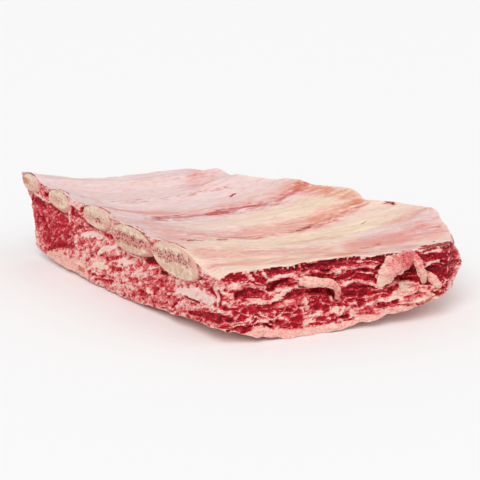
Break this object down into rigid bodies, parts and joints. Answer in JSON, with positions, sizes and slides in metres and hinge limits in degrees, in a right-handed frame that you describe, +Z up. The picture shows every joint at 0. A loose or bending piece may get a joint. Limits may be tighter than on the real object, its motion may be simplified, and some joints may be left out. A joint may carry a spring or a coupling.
{
  "type": "raw beef short ribs",
  "caption": "Slab of raw beef short ribs, bone side up: marbled meat on cut rib bones under a thin membrane, with a fat cap beneath.",
  "frame": {"origin": "on the surface that the slab lies on, under the middle of its box", "axes": "+Z up, towards the bone side; +X along the ribs, from the saw cut to the far end; +Y across the ribs, from rib 5 to rib 1"},
  "size_m": [0.2362, 0.2516, 0.0625],
  "materials": {
    "raw_meat": "moist red muscle with pink and cream marbling",
    "membrane": "thin moist membrane over pale fat, pink to lilac and cream",
    "fat": "soft waxy cream fat",
    "bone": "sawn bone with a spongy reddish core"
  },
  "bodies": {
    "root": {"meat": "raw_meat", "fat_cap": "fat", "rib_bone_1": "bone", "rib_bone_2": "bone", "rib_bone_3": "bone", "rib_bone_4": "bone", "rib_bone_5": "bone"}
  },
  "joints": []
}
